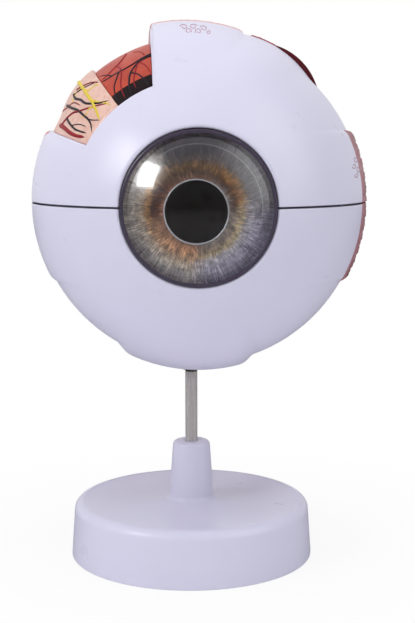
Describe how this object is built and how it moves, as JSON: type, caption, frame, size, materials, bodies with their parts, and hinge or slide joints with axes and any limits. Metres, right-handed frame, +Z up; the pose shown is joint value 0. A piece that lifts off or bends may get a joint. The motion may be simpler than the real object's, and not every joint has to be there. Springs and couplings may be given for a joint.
{
  "type": "eye anatomy model",
  "caption": "Enlarged take-apart human eye on a round stand: white globe split along its middle, with a cut-out window, muscles, cornea, iris, lens and clear body, which turns on a steel rod.",
  "frame": {"origin": "middle of the stand's flat underside, on the line of the steel rod", "axes": "+Z up, the eye looks along -Y, +X to the viewer's right, which is the temple side of this left eye"},
  "size_m": [0.1488, 0.1713, 0.2398],
  "materials": {
    "white_plastic": "glossy lavender white",
    "grey_plastic": "plain",
    "screw_steel": "zinc plated",
    "rod_steel": "polished steel",
    "dark_plastic": "plain",
    "pink_layer": "painted pink with vessels and a nerve",
    "orange_layer": "painted orange red with vessels",
    "brown_layer": "painted dark red brown",
    "clear_plastic": "clear",
    "lens_plastic": "clear",
    "ring_plastic": "dark purple",
    "iris_print": "printed grey and brown iris",
    "rim_metal": "bright",
    "ciliary_brown": "painted dark brown",
    "nerve_cream": "painted cream pink",
    "nerve_yellow": "painted yellow",
    "vessel_red": "painted dark red",
    "muscle_red": "fibrous, painted dusky red",
    "muscle_maroon": "painted maroon"
  },
  "bodies": {
    "base": {"base_shell": "white_plastic", "base_plate": "grey_plastic", "base_screws": "screw_steel"},
    "rod": {"stand_rod": "rod_steel"},
    "globe_lower": {"swivel_bush": "dark_plastic", "sclera_lower": "white_plastic", "choroid_lower": "brown_layer", "retina_lower": "orange_layer", "locating_pegs": "white_plastic", "nerve_sheath": "nerve_cream", "nerve_core": "nerve_yellow", "nerve_vessels": "vessel_red", "inferior_rectus": "muscle_red", "lateral_rectus_lower": "muscle_red", "medial_rectus_lower": "muscle_red", "inferior_oblique": "muscle_maroon"},
    "globe_upper": {"sclera_upper": "white_plastic", "window_choroid": "pink_layer", "window_vessel_layer": "orange_layer", "superior_rectus": "muscle_red", "lateral_rectus_upper": "muscle_red", "medial_rectus_upper": "muscle_red", "superior_oblique": "muscle_maroon"},
    "inner_upper": {"choroid_upper": "brown_layer", "retina_upper": "orange_layer"},
    "clear_body": {"vitreous_body": "clear_plastic", "lens": "lens_plastic", "ciliary_body": "ciliary_brown"},
    "cornea_unit": {"cornea": "clear_plastic", "limbus_ring": "ring_plastic"},
    "iris_unit": {"iris": "iris_print", "pupil_rim": "rim_metal"}
  },
  "joints": [
    {"name": "rod_lift", "type": "slide", "parent": "base", "child": "rod", "axis": [0, 0, 1], "range_m": [0, 0.04]},
    {"name": "globe_swivel", "type": "hinge", "parent": "rod", "child": "globe_lower", "pos_m": [0, 0, 0.088], "axis": [0, 0, 1], "continuous": true},
    {"name": "upper_half_lift", "type": "slide", "parent": "globe_lower", "child": "globe_upper", "axis": [0, 0, 1], "range_m": [0, 0.19]},
    {"name": "inner_half_lift", "type": "slide", "parent": "globe_lower", "child": "inner_upper", "axis": [0, 0, 1], "range_m": [0, 0.115]},
    {"name": "clear_body_lift", "type": "slide", "parent": "globe_lower", "child": "clear_body", "axis": [0, 0, 1], "range_m": [0, 0.0575]},
    {"name": "cornea_pull", "type": "slide", "parent": "globe_lower", "child": "cornea_unit", "axis": [0, -1, 0], "range_m": [0, 0.08]},
    {"name": "iris_pull", "type": "slide", "parent": "globe_lower", "child": "iris_unit", "axis": [0, -1, 0], "range_m": [0, 0.04]}
  ],
  "couplings": [
    {"joint": "inner_half_lift", "follows": "upper_half_lift", "ratio": 0.6},
    {"joint": "clear_body_lift", "follows": "upper_half_lift", "ratio": 0.3},
    {"joint": "iris_pull", "follows": "cornea_pull", "ratio": 0.5}
  ]
}
